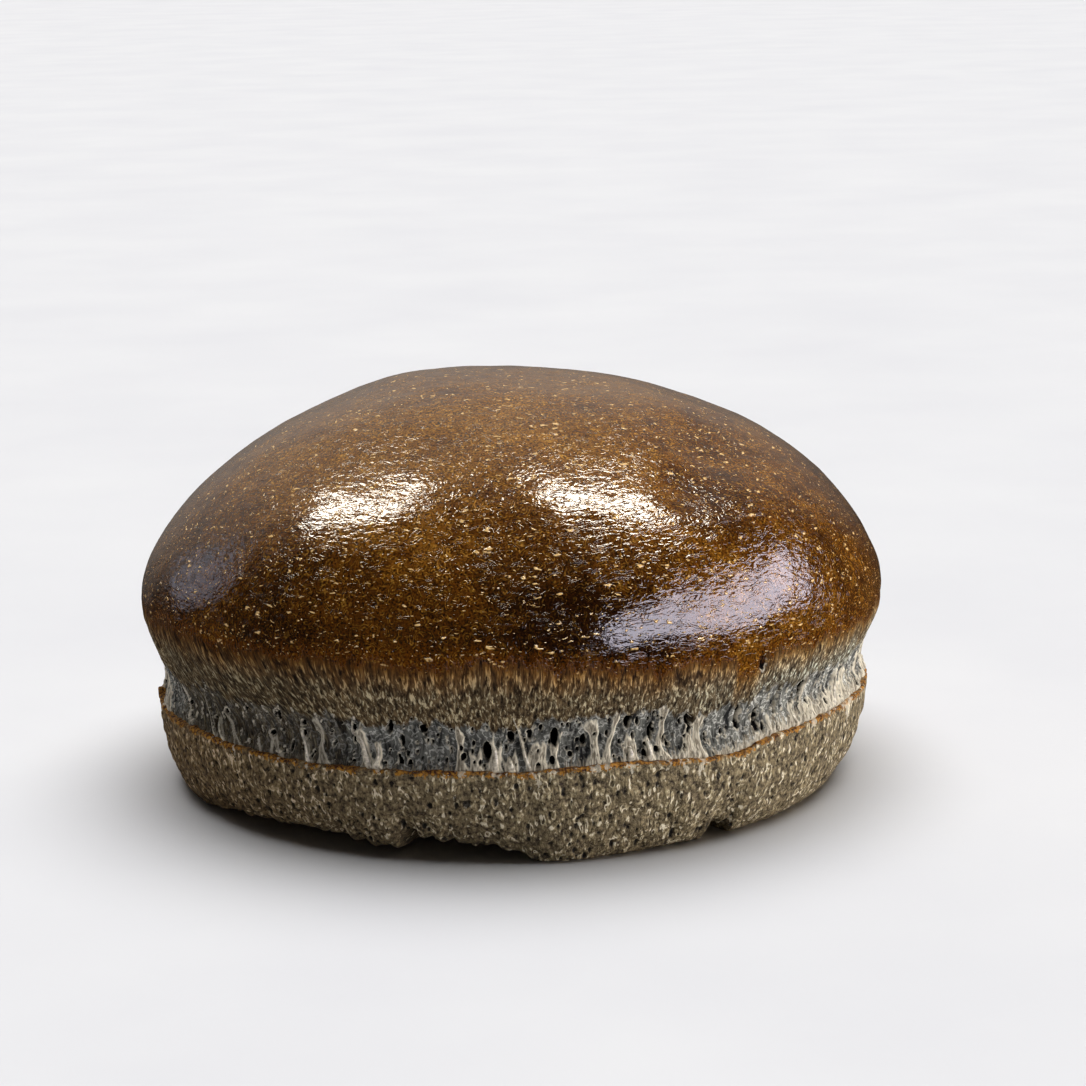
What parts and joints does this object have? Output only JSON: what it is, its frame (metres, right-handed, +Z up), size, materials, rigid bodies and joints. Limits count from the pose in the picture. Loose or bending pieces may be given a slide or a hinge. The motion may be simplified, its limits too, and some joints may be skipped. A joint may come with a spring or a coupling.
{
  "type": "round bread roll",
  "caption": "Round bread roll with a dark glossy domed crust, a torn fibrous band round its side, and a rough crumbly heel to stand on.",
  "frame": {"origin": "middle of the roll's box at the surface that it stands on", "axes": "+Z up, -Y towards the side with the notch and the hollow under the edge, +X to the right seen from that side"},
  "size_m": [0.1046, 0.1054, 0.0562],
  "materials": {
    "crust": "dark brown egg-washed crust, glossy on the dome and rough below"
  },
  "bodies": {
    "root": {"roll": "crust"}
  },
  "joints": []
}
